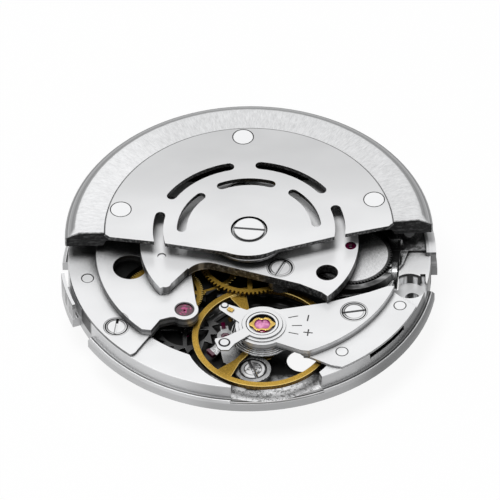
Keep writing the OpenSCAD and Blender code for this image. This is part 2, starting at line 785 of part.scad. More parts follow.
module crown_wheel() {
  color("silver") placed() at(crown_at) {
    translate([0, 0, 2.3]) linear_extrude(height = 0.2) teeth2d(crown_tip, crown_tip - 0.13, 76, 0.2, 0.8);
    translate([0, 0, 1.95]) cylinder(r = 0.4, h = 0.4);
    translate([0, 0, 2.4]) cylinder(r = 0.2, h = 0.45);
    translate([0, 0, 2.8]) cylinder(r = 0.12, h = 0.4);
  }
}

module ratchet_wheel() {
  color("silver") placed() difference() {
    at(barrel_at, 2.22) linear_extrude(height = 0.2) teeth2d(ratchet_tip, ratchet_tip - 0.13, 65, 0.2, 0.8);
    at(barrel_at) translate([-0.35, -0.35, 2]) cube([0.7, 0.7, 1]);
  }
}

module barrel_arbor() {
  color("silver") placed() difference() {
    union() {
      disc(barrel_at, 0.5, -0.45, 2.22);
      disc(barrel_at, 0.85, 0.25, 1.4);
      at(barrel_at) translate([-0.34, -0.34, 2.15]) cube([0.68, 0.68, 0.25]);
    }
    disc(barrel_at, 0.2, 1.7, 3);
  }
}

module ratchet_screw() {
  color("silver") placed() screw(barrel_at, 0.7, 2.56, 0.14, 0.19, 0.6, 45);
}

module barrel_drum() {
  color("gold") placed() difference() {
    union() {
      at(barrel_at, 0.02) linear_extrude(height = 0.4) teeth2d(barrel_tip, barrel_tip - 0.2, 77);
      disc(barrel_at, barrel_tip - 0.2, 0.02, 1.52);
    }
    disc(barrel_at, barrel_tip - 0.5, 0.2, 2);
    disc(barrel_at, 0.5 + run_gap, -1, 2);
  }
}

module barrel_cover() {
  color("gold") placed() difference() {
    at(barrel_at, 1.52) linear_extrude(height = 0.16) teeth2d(barrel_tip, barrel_tip - 0.2, 77);
    disc(barrel_at, 0.5 + run_gap, 1, 2);
  }
}

// A flat spiral ribbon
module spiral2d(r0, r1, turns, w, per, a0 = 0) {
  n = turns * per;
  outer = [for (i = [0:n]) let (r = r0 + (r1 - r0) * i / n + w / 2, a = a0 + i * 360 / per)
    r * [cos(a), sin(a)]];
  inner = [for (j = [0:n]) let (i = n - j, r = r0 + (r1 - r0) * i / n - w / 2, a = a0 + i * 360 / per)
    r * [cos(a), sin(a)]];
  polygon(concat(outer, inner));
}

module mainspring() {
  color("silver") placed() at(barrel_at, 0.28) linear_extrude(height = 1.1)
    spiral2d(1.0, barrel_tip - 0.555, 8, 0.11, 20);
}

module centre_wheel() {
  color("gold") placed() difference() {
    train_wheel(centre_tip, 0.2, 75, 1.76, 0.14, 4, centre_leaf, 11, 1.5, 1.75, 1.5, 2.1, 0.3);
    disc(centre, seconds_r + run_gap, 1, 3);
  }
}

module third_wheel() {
  color("gold") placed() at(third_at)
    train_wheel(third_tip, 0.16, 80, 1.3, 0.12, 4, third_leaf, 10, 1.43, 1.96, -0.05, 2.13);
  color("gold") placed() disc(third_at, 0.07, -0.3, 2.4);
}

module fourth_wheel() {
  color("gold") placed() at(fourth_at)
    train_wheel(fourth_tip, 0.15, 96, 1.52, 0.12, 4, fourth_leaf, 10, 1.24, 1.5, -0.05, 2.13);
  color("gold") placed() disc(fourth_at, 0.07, -0.3, 2.4);
}

module escape_wheel() {
  color("silver") placed() {
    at(escape_at, 0.62) linear_extrude(height = 0.14) difference() {
      rotate(6) saw2d(escape_tip, escape_tip - 0.55, 15);
      windows2d(escape_tip - 0.75, 0.45, 4, 0.28);
    }
    at(escape_at, 1.3) linear_extrude(height = 0.45) teeth2d(escape_leaf, escape_leaf - 0.06, 8);
    disc(escape_at, 0.11, -0.05, 2.08);
    disc(escape_at, 0.07, -0.3, 2.3);
  }
}

// Places of the two stones: centre, angle, length
entry_stone = [[-1.86, -5.52], 8, 0.62];
exit_stone = [[-2.75, -8.05], 36.7, 0.7];

module stone_box(s, grow, z0, z1) {
  translate([s[0][0], s[0][1], z0]) rotate(s[1]) translate([-0.135 - grow, -s[2] / 2, 0])
    cube([0.27 + 2 * grow, s[2], z1 - z0]);
}

module pallet_fork() {
  color("silver") placed() {
    difference() {
      at(pallet_at, 0.6) linear_extrude(height = 0.18) {
        circle(r = 0.34);
        // arms to the stones
        polygon([[-0.25, 0.2], [0.3, 0.1], [0.18, 1.28], [-0.38, 1.22]]);
        polygon([[-0.3, 0.1], [0.2, -0.25], [-0.62, -1.55], [-1.28, -1.05], [-0.9, -0.75]]);
        // lever and fork
        rotate(-13.3) polygon([[0, -0.16], [1.5, -0.12], [1.62, -0.3], [1.9, -0.3], [1.9, 0.3], [1.62, 0.3],
          [1.5, 0.12],
          [0, 0.16]]);
      }
      at(pallet_at) rotate(-13.3) translate([1.66, -0.11, 0]) cube([0.4, 0.22, 2]);
      stone_box(entry_stone, 0.003, 0, 2);
      stone_box(exit_stone, 0.003, 0, 2);
    }
    disc(pallet_at, 0.07, -0.3, 1.0);
    disc(pallet_at, 0.13, -0.08, 0.86);
  }
}

module pallet_stones() {
  color("crimson") placed() {
    stone_box(entry_stone, 0, 0.54, 0.84);
    stone_box(exit_stone, 0, 0.54, 0.84);
  }
}

module balance_wheel() {
  color("gold") placed() at(balance_at) {
    ring(centre, rim_r - rim_w, rim_r, rim_low, rim_low + rim_h);
    difference() {
      translate([0, 0, rim_low + 0.06]) linear_extrude(height = 0.2) {
        circle(r = 0.55);
        for (a = [112, 232, 352]) rotate(a)
          polygon([[0, -0.22], [2.9, -0.22], [rim_r - rim_w + 0.1, -0.62], [rim_r - rim_w + 0.1, 0.62],
            [2.9, 0.22], [0, 0.22]]);
      }
      translate([0, 0, 1]) cylinder(r = 0.2, h = 1);
    }
  }
}

module balance_staff() {
  color("silver") placed() at(balance_at) {
    translate([0, 0, -0.15]) cylinder(r = 0.07, h = 2.55);
    translate([0, 0, 0.16]) cylinder(r = 0.13, h = 1.9);
    translate([0, 0, 1.2]) cylinder(r = 0.19, h = 0.5);
    translate([0, 0, 1.55]) cylinder(r = 0.45, h = 0.12);
    translate([0, 0, 1.72]) cylinder(r = 0.35, h = 0.28);
  }
}

module roller_table() {
  color("silver") placed() difference() {
    union() {
      disc(balance_at, 0.75, 0.88, 1.0);
      disc(balance_at, 0.3, 0.5, 1.18);
    }
    disc(balance_at, 0.13, 0, 2);
    at(balance_at) rotate(166.7) translate([0.58, 0, 0]) cylinder(r = 0.08, h = 2);
  }
}

module impulse_jewel() {
  color("crimson") placed() at(balance_at) rotate(166.7) translate([0.58, 0, 0.64])
    cylinder(r = 0.079, h = 0.36);
}

module hairspring() {
  color("lightgray") placed() at(balance_at, 1.84) linear_extrude(height = 0.12) {
    rotate(146.5) spiral2d(0.5, 2.3, spring_turns, 0.035, 24);
    difference() {
      circle(r = 0.52);
      circle(r = 0.36);
    }
    rotate(146.5) translate([2.29, -0.02]) square([0.14, 0.04]);
  }
}

module seconds_arbor() {
  color("silver") placed() {
    disc(centre, second_post_r, -2.35, -1.97);
    disc(centre, seconds_foot_r, -1.97, -1.2);
    disc(centre, seconds_r, -1.21, 2.4);
    at(centre, 1.24) linear_extrude(height = 0.22) teeth2d(second_leaf, second_leaf - 0.1, 10);
  }
}

module cannon_pinion() {
  color("silver") placed() difference() {
    union() {
      disc(centre, minute_post_r, -1.95, -1.57);
      disc(centre, cannon_r, -1.57, -0.72);
      at(centre, -0.74) linear_extrude(height = 0.22) teeth2d(cannon_leaf, cannon_leaf - 0.1, 12);
      disc(centre, 0.42, -0.75, 0.1);
      at(centre, 0.05) linear_extrude(height = 0.34) teeth2d(centre_leaf, centre_leaf - 0.14, 11);
    }
    disc(centre, seconds_foot_r + run_gap, -3, 2);
  }
}

module minute_wheel() {
  color("gold") placed() at(minute_at) {
    translate([0, 0, -0.68]) linear_extrude(height = 0.12) teeth2d(minute_tip, minute_tip - 0.12, 36);
    translate([0, 0, -0.93]) linear_extrude(height = 0.26) teeth2d(minute_leaf, minute_leaf - 0.1, 10);
    translate([0, 0, -0.6]) cylinder(r = 0.17, h = 0.6);
  }
}

module hour_wheel() {
  color("gold") placed() difference() {
    union() {
      at(centre, -0.92) linear_extrude(height = 0.14) teeth2d(hour_tip, hour_tip - 0.12, 40);
      disc(centre, hour_post_r, -1.55, -0.79);
    }
    disc(centre, cannon_r + run_gap, -3, 0);
  }
}

module setting_wheel() {
  color("silver") placed() at(setting_at) difference() {
    union() {
      translate([0, 0, -0.68]) linear_extrude(height = 0.12) teeth2d(setting_tip, setting_tip - 0.13, 40);
      translate([0, 0, -0.74]) cylinder(r = 0.45, h = 0.24);
    }
    translate([0, 0, -2]) cylinder(r = 0.2 + run_gap, h = 4);
  }
}

module winding_pinion() {
  color("silver") lifted() translate([9.12, 0, stem_z]) rotate([0, 90, 0]) difference() {
    union() {
      linear_extrude(height = 0.75) teeth2d(1.5, 1.24, 20);
      cylinder(r = 1.0, h = 1.15);
    }
    translate([0, 0, -1]) cylinder(r = stem_bore_r - 0.16, h = 4);
  }
}

module sliding_pinion() {
  color("silver") lifted() translate([7.75, 0, stem_z]) rotate([0, 90, 0]) difference() {
    union() {
      cylinder(r = 0.62, h = 1.25);
      linear_extrude(height = 0.45) teeth2d(0.8, 0.66, 14);
      translate([0, 0, 0.75]) cylinder(r = 0.8, h = 0.5);
    }
    translate([0, 0, -1]) cylinder(r = stem_bore_r - 0.18, h = 4);
  }
}

module yoke() {
  color("silver") lifted() {
    translate([0, 0, -0.86]) linear_extrude(height = 0.2) difference() {
      union() {
        translate(yoke_post) circle(r = 0.6);
        polygon([[9.4, -3.95], [10.0, -3.1], [8.75, -2.2], [8.6, 0.25], [8.1, 0.25], [8.15, -2.6]]);
      }
      translate(yoke_post) circle(r = 0.25 + run_gap);
    }
    // finger in the groove of the sliding pinion
    disc([finger_x, 0], 0.11, -0.86, 0.05);
  }
}

module setting_lever() {
  color("silver") lifted() translate([0, 0, -0.62]) linear_extrude(height = 0.12) difference() {
    union() {
      translate(lever_post) circle(r = 0.65);
      polygon([[6.2, -2.0], [6.6, -3.2], [7.4, -3.9], [7.5, -3.3], [7.0, -2.4]]);
    }
    translate(lever_post) circle(r = 0.25 + run_gap);
  }
}

module keyless_cover() {
  color("silver") lifted() translate([4.62, -5.08, -seat_drop]) cube([5.96, 3.86, 0.1]);
}

module click() {
  color("silver") placed() translate([0, 0, 2.22]) linear_extrude(height = 0.19) difference() {
    union() {
      translate(click_at) circle(r = 0.5);
      polygon([[0.45, 6.08], [0.45, 5.12], [1.2, 5.25], [2.06, 5.66], [2.12, 5.76], [1.2, 5.95]]);
    }
    translate(click_at) circle(r = 0.2 + run_gap);
  }
}

module click_spring() {
  color("silver") placed() translate([0, 0, 2.2]) linear_extrude(height = 0.14) union() {
    translate(spring_foot) circle(r = 0.36);
    polygon([[-1.6, 6.76], [0.93, 6.18], [0.95, 6.26], [-1.6, 6.98]]);
  }
}

main_plate();
train_bridge();
barrel_bridge();
automatic_bridge();
balance_cock();
pallet_bridge();
bridge_screws();
automatic_screws();
pallet_screws();
locating_pins();
plate_jewels();
bridge_jewels();
automatic_jewel();
lower_shock();
shock_block();
shock_spring();
cap_jewel();
stud_carrier();
regulator_index();
hairspring_stud();
regulator_pin();
bearing_core();
rotor_screw();
click();
click_spring();
rotor_plate();
rotor_weight();
rotor_rivets();
rotor_hub();
bearing_balls();
reverser_wheel();
reduction_wheel();
crown_wheel();
ratchet_wheel();
barrel_arbor();
ratchet_screw();
barrel_drum();
barrel_cover();
mainspring();
centre_wheel();
third_wheel();
fourth_wheel();
escape_wheel();
pallet_fork();
pallet_stones();
balance_wheel();
balance_staff();
roller_table();
impulse_jewel();
hairspring();
seconds_arbor();
cannon_pinion();
minute_wheel();
hour_wheel();
setting_wheel();
winding_pinion();
sliding_pinion();
yoke();
setting_lever();
keyless_cover();
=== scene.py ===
import json
import math

import bpy
from mathutils import Matrix, Vector

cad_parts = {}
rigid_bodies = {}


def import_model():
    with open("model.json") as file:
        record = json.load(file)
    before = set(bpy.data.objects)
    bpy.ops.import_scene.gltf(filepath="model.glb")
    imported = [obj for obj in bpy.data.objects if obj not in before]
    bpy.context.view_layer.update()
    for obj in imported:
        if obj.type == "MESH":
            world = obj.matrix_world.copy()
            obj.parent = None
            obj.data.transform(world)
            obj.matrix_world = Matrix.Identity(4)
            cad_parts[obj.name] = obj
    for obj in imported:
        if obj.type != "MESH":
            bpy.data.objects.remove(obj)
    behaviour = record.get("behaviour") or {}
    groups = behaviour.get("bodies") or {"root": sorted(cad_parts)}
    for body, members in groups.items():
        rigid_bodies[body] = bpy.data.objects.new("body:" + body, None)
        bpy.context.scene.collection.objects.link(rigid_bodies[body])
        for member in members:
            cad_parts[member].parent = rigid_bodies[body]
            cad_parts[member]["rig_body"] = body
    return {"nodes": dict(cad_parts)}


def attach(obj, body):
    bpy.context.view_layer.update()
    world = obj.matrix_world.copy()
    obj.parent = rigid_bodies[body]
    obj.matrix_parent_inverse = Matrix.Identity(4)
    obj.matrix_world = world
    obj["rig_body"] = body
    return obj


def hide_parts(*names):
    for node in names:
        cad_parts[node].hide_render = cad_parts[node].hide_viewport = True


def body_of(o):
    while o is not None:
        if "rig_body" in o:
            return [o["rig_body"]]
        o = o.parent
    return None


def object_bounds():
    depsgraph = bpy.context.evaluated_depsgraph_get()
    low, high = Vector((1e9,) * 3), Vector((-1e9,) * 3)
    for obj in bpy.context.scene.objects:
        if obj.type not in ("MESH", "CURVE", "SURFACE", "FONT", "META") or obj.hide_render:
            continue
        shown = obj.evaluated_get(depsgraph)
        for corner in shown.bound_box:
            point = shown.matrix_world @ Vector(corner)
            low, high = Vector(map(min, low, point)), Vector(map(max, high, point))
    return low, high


# Looks of a self-winding watch movement, 26 mm across. Blender's lengths are metres; MM is one millimetre.
# Places on the train side are in mm from the hands' axis, in the axes of the bridges: these are turned
# by STEM_TURN against the winding stem, and heights count from the lower edge of the flange.

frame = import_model()
cad_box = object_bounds()

MM = 0.001
STEM_TURN = math.radians(4.5)
SEAT = 1.0 * MM

# Axes of the wheels and jewels
AXIS = (0.0, 0.0)
BALANCE = (0.82, -7.38)
ESCAPE_JEWEL = (-4.52, -5.68)
CROWN = (7.0, -0.45)

# Screws, pins and holes
LEFT_SCREW = (-9.22, -6.74)
COCK_SCREW = (7.14, -6.13)
AUTO_SCREWS = ((2.13, -2.5), (-5.4, 3.6), (-0.6, 5.0))
PLATE_SCREW = (0.14, -10.0)
PINS = ((-11.2, -2.0), (10.32, -5.02), (6.26, -9.38))
INDEX_PIN = (BALANCE[0] - 2.619, BALANCE[1] - 1.786)
STUD_PIN = (BALANCE[0] - 2.573, BALANCE[1] + 1.902)
CLAMP_POCKET = (11.02, -2.94)
HOLE = (-8.26, -1.53)
BRIDGE_HOLE = (5.33, -3.04)
BORE_R = 0.85
LEFT_BORE_R = 0.79
PIN_MARKS = tuple((place, 0.42) for place in PINS)

# Radii of the plate's band, of the rotor's plate and its weight, and of the crown wheel's recess and ring
BAND_R = 12.57
ROTOR_PLATE_R = 9.96
WEIGHT_R = 12.73
CROWN_RECESS_R = 3.0
CROWN_RING_R = 3.5

# Tops of the flange, of the bridges' ledge and of the bridges, and seats of the end stone and its spring
FLANGE_TOP = 0.67
LEDGE_TOP = 2.08
BRIDGE_TOP = 2.65
END_STONE_SEAT = 2.61
SHOCK_SPRING_SEAT = 2.77

# Heights between which the main plate's pockets end and its top begins
POCKET_TOP = (1.5, 1.7)

# Along y, where the plate's middle goes in under the bridges
UNDER_BRIDGE = (-5.6, -5.2)

# The rivets stand on a ring, turned with the rotor by its rest angle
RIVET_RING = 9.1
ROTOR_TURN = 2.1
RIVETS = tuple((RIVET_RING * math.cos(math.radians(angle + ROTOR_TURN)),
                RIVET_RING * math.sin(math.radians(angle + ROTOR_TURN)))
               for angle in (15.5, 90.0, 164.5))

BLACK = (0.0, 0.0, 0.0)
WHITE = (1.0, 1.0, 1.0)
NICKEL = (0.985, 0.99, 1.0)
GILT_TOP = (0.5, 0.305, 0.045)
# Gilt for walls is darker, painted as shade, and gilt for edges is bright, painted as highlight
GILT_WALL_SHADE = (0.19, 0.105, 0.01)
GILT_EDGE_HIGHLIGHT = (0.9, 0.66, 0.22)
RUBY_DEEP = (0.07, 0.0014, 0.021)
RUBY_LIGHT = (0.42, 0.02, 0.16)

# Upward part of a surface's direction, over which an edge passes into a level face and into a wall
LEVEL = (0.86, 0.97)
UPRIGHT = (0.3, 0.55)

# The painted shadow of what stands close: its reach in mm, where it starts and ends, and its depth
WIDE = (2.6, 0.45, 0.8)
NARROW = (1.0, 0.42, 0.68)
SHALLOW = (0.7, 0.3, 0.66, 0.8)


# Shader maths

class Value:
    """A number, vector or colour inside a material, with sums written as in Python."""

    def __init__(self, paint, socket):
        self.paint = paint
        self.socket = socket

    def math(self, operation, *others):
        return self.paint.node("ShaderNodeMath", {"operation": operation}, dict(enumerate((self, *others))))

    def __add__(self, other):
        return self.math("ADD", other)

    __radd__ = __add__

    def __mul__(self, other):
        return self.math("MULTIPLY", other)

    __rmul__ = __mul__

    def __sub__(self, other):
        return self.math("SUBTRACT", other)

    def __rsub__(self, other):
        return self * -1.0 + other

    def __truediv__(self, other):
        return self.math("DIVIDE", other)

    def size(self):
        return self.math("ABSOLUTE")

    def root(self):
        return self.math("SQRT")

    def over(self, low, high):
        """0 below low and 1 above high, with a soft passage."""
        return self.paint.node("ShaderNodeMapRange", {"interpolation_type": "SMOOTHSTEP"},
                               {"Value": self, "From Min": low, "From Max": high})

    def under(self, low, high):
        return 1.0 - self.over(low, high)

    def between(self, low, high):
        """low where this value is 0, and high where it is 1."""
        return self * (high - low) + low

    def covered(self, mask, other):
        """This value, with another laid over it where the mask is 1."""
        return self * (1.0 - mask) + other * mask

    def dimmed(self, mask, share):
        """This value, less a share of it where the mask is 1."""
        return self * (1.0 - mask * share)


class Paint:
    """The nodes of a material or of the world, in the making."""

    def __init__(self, owner):
        owner.use_nodes = True
        self.material = owner
        self.tree = owner.node_tree
        self.shader = self.tree.nodes.get("Principled BSDF")

    def fill(self, slot, value):
        if isinstance(value, Value):
            self.tree.links.new(value.socket, slot)
        elif isinstance(value, tuple) and len(value) == 3 and slot.type == "RGBA":
            slot.default_value = (*value, 1.0)
        else:
            slot.default_value = value

    def node(self, kind, settings=None, sockets=None, output=0):
        """Adds a node, makes its settings, fills its sockets and returns one of its outputs."""
        node = self.tree.nodes.new(kind)
        for key, value in (settings or {}).items():
            setattr(node, key, value)
        for key, value in (sockets or {}).items():
            self.fill(node.inputs[key], value)
        return Value(self, node.outputs[output])

    def put(self, **values):
        for key, value in values.items():
            self.fill(self.shader.inputs[key.replace("_", " ").title().replace("Ior", "IOR")], value)

    def place(self):
        """The place on the movement, in mm, in the axes of the bridges."""
        object_place = self.node("ShaderNodeTexCoord", output="Object")
        return self.node("ShaderNodeMapping", None, {
            "Vector": object_place, "Location": (0, 0, -SEAT / MM),
            "Rotation": (0, 0, -STEM_TURN), "Scale": (1 / MM, 1 / MM, 1 / MM)})

    def parts(self, vector):
        return [self.node("ShaderNodeSeparateXYZ", None, {0: vector}, axis) for axis in range(3)]

    def slopes(self, level=LEVEL, upright=UPRIGHT):
        """Two masks: 1 on level faces, and 1 on upright ones."""
        facing_z = self.parts(self.node("ShaderNodeTexCoord", output="Normal"))[2]
        return facing_z.over(*level), facing_z.under(*upright)

    def joined(self, x, y, z):
        return self.node("ShaderNodeCombineXYZ", None, {0: x, 1: y, 2: z})

    def noise(self, vector, scale, detail, roughness):
        return self.node("ShaderNodeTexNoise", None,
                         {"Vector": vector, "Scale": scale, "Detail": detail, "Roughness": roughness})

    def patches(self, stretched, detail, roughness, low, high):
        """Noise over three stretched coordinates, drawn apart into 0 below low and 1 above high."""
        return self.noise(self.joined(*stretched), 1.0, detail, roughness).over(low, high)

    def mix(self, factor, low, high):
        return self.node("ShaderNodeMix", {"data_type": "RGBA"}, {0: factor, 6: low, 7: high}, 2)

    def crevice(self, reach=1.5, low=0.42, high=0.74, depth=0.97):
        """Painted shade: 1 in the open, going down to near 0 in corners and under what stands close above."""
        open_sky = self.node("ShaderNodeAmbientOcclusion", {"samples": 4}, {"Distance": reach * MM}, 1)
        return open_sky.over(low, high) * depth + (1.0 - depth)

    def bump(self, height, strength, depth):
        self.put(normal=self.node("ShaderNodeBump", None,
                                  {"Height": height, "Strength": strength, "Distance": depth * MM}))

    def nickel(self, tone):
        """Colour of a grey tone, a little cool."""
        return self.mix(tone, BLACK, NICKEL)


def new_paint(name):
    return Paint(bpy.data.materials.new(name))


def scaled(colour, factor):
    return tuple(part * factor for part in colour)


def away_from(x, y, centre):
    """Distance from an upright axis."""
    dx = x - centre[0]
    dy = y - centre[1]
    return (dx * dx + dy * dy).root()


def frontward(x, y, centre):
    """How far a place lies to the front and right of an upright axis."""
    return (x - centre[0]) * 0.6 - (y - centre[1]) * 0.8


def outline(x, y, centre, radius, width):
    """1 on a thin circle."""
    return (away_from(x, y, centre) - radius).size().under(width * 0.4, width)


def by_slope(up, side, top, wall, edge):
    """Tone of level faces, of upright walls and of the edges between them."""
    return up * top + side * wall + (1.0 - up - side) * edge


# Nickel plate

def bore_shade(tone, x, y, centre, radius):
    """The inside of a bore is painted dark as shade, and a dark line round it is partly its gap and partly
    painted shade; both are weaker in front.
    """
    distance = away_from(x, y, centre)
    strength = 0.95 - frontward(x, y, centre).over(-0.6, 0.7) * 0.45
    inner = distance.under(radius + 0.01, radius + 0.04)
    line = (distance - radius - 0.09).size().under(0.015, 0.035)
    return tone.dimmed(inner, strength).dimmed(line, strength)


def plated(name, top=0.86, edge=0.9, wall=(0.04, 0.3), bores=(), circles=(), rough=0.28, wall_grain=2.2,
           shade=None, crevice=(), spared=None):
    """Nickel plate: pale satin tops, broken edges, walls with tool marks that are also painted darker as
    shade, dark rings round screws that are partly painted shade, and painted shade in crevices.
    """
    paint = new_paint(name)
    place = paint.place()
    x, y, z = paint.parts(place)
    up, side = paint.slopes()
    fine = paint.noise(place, 22.0, 3.0, 0.65)
    haze = paint.patches((x * 0.16, y * 0.3, 0.0), 2.0, 0.5, 0.35, 0.7)
    marks = paint.patches((x * wall_grain, y * wall_grain, z * 9.0), 4.0, 0.75, 0.32, 0.72)
    top_tone = fine * 0.02 + haze * 0.05 + (top - 0.03)
    wall_tone = marks.between(*wall) + fine * 0.06 - 0.03
    # Walls are painted dark as shade; an edge tone above the top tone is a painted highlight, and one below
    # it is painted shade
    tone = by_slope(up, side, top_tone, wall_tone, fine.between(edge - 0.1, edge + 0.1))
    for centre, radius in bores:
        tone = bore_shade(tone, x, y, centre, radius)
    for centre, radius in circles:
        tone = tone.dimmed(outline(x, y, centre, radius, 0.05), 0.93)
    if shade is not None:
        tone = shade(paint, tone, x, y, z, up, side, fine)
    # Painted shade in crevices and under what stands close; where spared is 1 the surface keeps its own tones
    gloom = paint.crevice(*crevice)
    if spared is not None:
        gloom = gloom + (1.0 - gloom) * spared(x, y, z)
    paint.put(base_color=paint.nickel(tone * gloom), metallic=up.between(0.75, 0.2),
              roughness=up.between(0.4, rough))
    paint.bump(fine * 0.4 + marks * side, 0.3, 0.006)
    return paint.material


def plate_pits(x, y, z):
    """The main plate's pits and rim, whose floors and walls keep their own painted tones."""
    rim = away_from(x, y, AXIS).over(BAND_R - 0.16, BAND_R - 0.08)
    return z.under(*POCKET_TOP).math("MAXIMUM", rim)


def band_tones(radius, angle, z):
    """Tones of the plate's band, with painted light in front and at the back and painted shade to the right
    and in the notch, and of the lip outside it, with a painted highlight line and a painted shadow line.
    """
    upper = 0.67 - angle.over(-118, -100) * 0.22 + angle.over(-95, -65) * 0.05
    upper = upper - angle.over(-62, -28) * 0.31
    lower = 0.52 - angle.over(-112, -100) * 0.12 - angle.over(-62, -45) * 0.2
    # Inside the notch the band is painted dark as shade
    beside_notch = angle.over(-151.5, -150.0) + angle.under(-158.5, -157.0)
    is_upper = z.over(FLANGE_TOP + 0.05, FLANGE_TOP + 0.11)
    # Painted light towards the back
    back_light = angle.over(-10, 60) * 0.3
    band = is_upper * upper * beside_notch.between(0.1, 1.0) + (1.0 - is_upper) * lower + back_light
    past_band = radius - BAND_R
    crease_shadow_line = (past_band - 0.13).size().under(0.015, 0.045)
    edge_highlight_line = (past_band - 0.23).size().under(0.015, 0.045)
    lip = lower * 0.55 + edge_highlight_line * 0.6 - crease_shadow_line * 0.24 + past_band.under(0.05, 0.09) * 0.12
    return band, lip


def below_balance(paint, x, y, z):
    """Turned arcs on the floor below the balance, shown in painted patches of light."""
    from_balance = away_from(x, y, BALANCE)
    arcs = paint.patches((from_balance * 7.0, x * 0.3, 0.0), 3.0, 0.7, 0.5, 0.66)
    light = paint.patches((x * 0.6, y * 0.6, 0.0), 2.0, 0.5, 0.42, 0.62)
    near = from_balance.under(5.3, 5.6) * y.over(*UNDER_BRIDGE) * z.over(0.1, 0.2)
    return near * (arcs * light * 0.4 + light * 0.06)


def clamp_pocket(paint, x, y, z, fine):
    """Tones of the clamp's pocket: its wall with stripes of painted reflection, light and dark, and its
    floor, darker to the left.
    """
    inside = away_from(x, y, CLAMP_POCKET).under(1.5, 1.7)
    across = x - CLAMP_POCKET[0]
    # The wall's light and dark stripes are painted reflections on the round wall
    turned = paint.patches((across * 7.0, z * 0.6, 0.0), 2.0, 0.7, 0.4, 0.6)
    dark_reflection_stripes = (across - 0.05).size().under(0.16, 0.3) + (across - 0.72).size().under(0.1, 0.2)
    wall = inside * turned.between(0.5, 0.9).dimmed(dark_reflection_stripes, 0.95)
    floor = inside * (fine * 0.25 + 0.5 - (across + 0.9).under(0.0, 0.6) * 0.3)
    return wall, floor


def pit_tone(paint, x, y, z, up, fine, chips):
    """Tone of the plate's pits: painted near black as shade, but for the opening in front, painted light, the
    clamp's pocket and turned arcs.
    """
    # The opening's floor is painted light, brightest towards its front edge; other pit floors and walls are
    # painted near black as shade
    front = (y + fine * 0.5).under(-9.75, -9.35) * z.over(-0.05, 0.0)
    grit = paint.noise(paint.joined(x, y, z), 5.5, 4.0, 0.85).over(0.44, 0.54)
    shore = (y + chips * 0.4).under(-10.6, -10.0)
    dark_grit = (1.0 - grit) * (0.75 - chips * 0.6)
    bright_floor = front * (shore * 0.75 + 0.15 + chips * 0.25) * (1.0 - dark_grit)
    clamp_wall, clamp_floor = clamp_pocket(paint, x, y, z, fine)
    floor = bright_floor + clamp_floor + below_balance(paint, x, y, z) + 0.012
    wall = front * chips * grit * 0.7 + clamp_wall + 0.012
    return wall.covered(up, floor)


def tab_tone(paint, angle, z, up):
    """Tone of the casing tabs: pale above; their sides streaked and painted darker as shade, darker still
    above 2 mm.
    """
    streak = paint.patches((angle * 0.9, z * 0.5, 0.0), 3.0, 0.7, 0.42, 0.58)
    return up * 0.8 + (1.0 - up) * streak.between(0.22, 0.52).dimmed(z.over(2.0, 2.04), 0.5)


def plate_shade(paint, tone, x, y, z, up, side, fine):
    """The main plate: white above, its band painted grey with light and shade, its pockets painted black as
    shade, its opening painted bright, a painted highlight in the hole, and painted shade under the hole and
    the bridges.
    """
    radius = away_from(x, y, AXIS)
    angle = y.math("ARCTAN2", x) * (180.0 / math.pi)
    chips = paint.patches((x * 1.3, y * 2.6, z * 1.5), 5.0, 0.75, 0.4, 0.58)
    outer = radius.over(BAND_R - 0.1, BAND_R - 0.06)
    band, lip = band_tones(radius, angle, z)
    tone = tone.covered(z.under(*POCKET_TOP) * (1.0 - outer), pit_tone(paint, x, y, z, up, fine, chips))
    tone = tone.covered(outer * (1.0 - up), band)
    tone = tone.covered(outer * up * z.under(1.2, 1.5), lip)
    tab = radius.over(BAND_R + 0.01, BAND_R + 0.03) * z.over(FLANGE_TOP + 0.17, FLANGE_TOP + 0.19)
    high_right = z.over(2.3, 2.34) * x.over(0.0, 0.1)
    tone = tone.covered(tab * (1.0 - high_right), tab_tone(paint, angle, z, up))
    from_hole = away_from(x, y, HOLE)
    under_hole = from_hole.under(1.3, 1.4)
    # Painted highlight inside the train bridge's hole
    glint = from_hole.over(0.5, 0.6) * (y - HOLE[1] + x - HOLE[0]).under(-0.9, -0.5) * z.under(1.6, 1.7)
    tone = tone + glint * 0.5 * under_hole * chips
    # Painted shade on the plate under the train bridge's hole and under the bridges
    under_bridge = x.size().under(7.2, 7.6) * y.over(*UNDER_BRIDGE)
    return tone.dimmed(under_hole.math("MAXIMUM", under_bridge) * z.over(1.5, 1.6), 0.97)


def stepped(tone, z, side, low, high, lower=0.5, upper=0.22):
    """A step's wall painted in two tones of light and shade, with a painted shadow line at its foot."""
    middle = (low + high) / 2
    wall = z.over(low, low + 0.05) * z.over(middle, middle + 0.06).between(lower, upper)
    return tone.covered(side * z.over(low - 0.02, low) * z.under(high, high + 0.02), wall)


def upper_shade(paint, tone, x, y, z, up, side, fine):
    """The automatic bridge's wall is rough and painted dark as shade in front, and painted brighter at its
    left arm, with patches of painted sheen and more painted light low down.
    """
    rough = paint.patches((x * 4.0, y * 4.0, z * 4.0), 4.0, 0.75, 0.45, 0.68)
    painted_sheen = paint.patches((x * 1.6, y * 1.6, 0.0), 2.0, 0.6, 0.4, 0.62)
    front_wall = rough * 0.22 + fine * 0.03 + 0.03
    arm_wall = painted_sheen * 0.4 + 0.1 + z.under(2.75, 2.85) * 0.3
    return tone.covered(side, front_wall.covered(x.under(-3.6, -2.6), arm_wall))


def cock_shade(paint, tone, x, y, z, up, side, fine):
    """The cock's step, painted in two tones of light and shade, and painted shade on the floors of its
    engraved marks.
    """
    cut = up * z.over(BRIDGE_TOP - 0.08, BRIDGE_TOP - 0.06) * z.under(BRIDGE_TOP - 0.04, BRIDGE_TOP - 0.02)
    tone = stepped(tone, z, side, LEDGE_TOP - 0.02, BRIDGE_TOP - 0.05, lower=0.3, upper=0.55)
    return tone.dimmed(cut, 0.9)


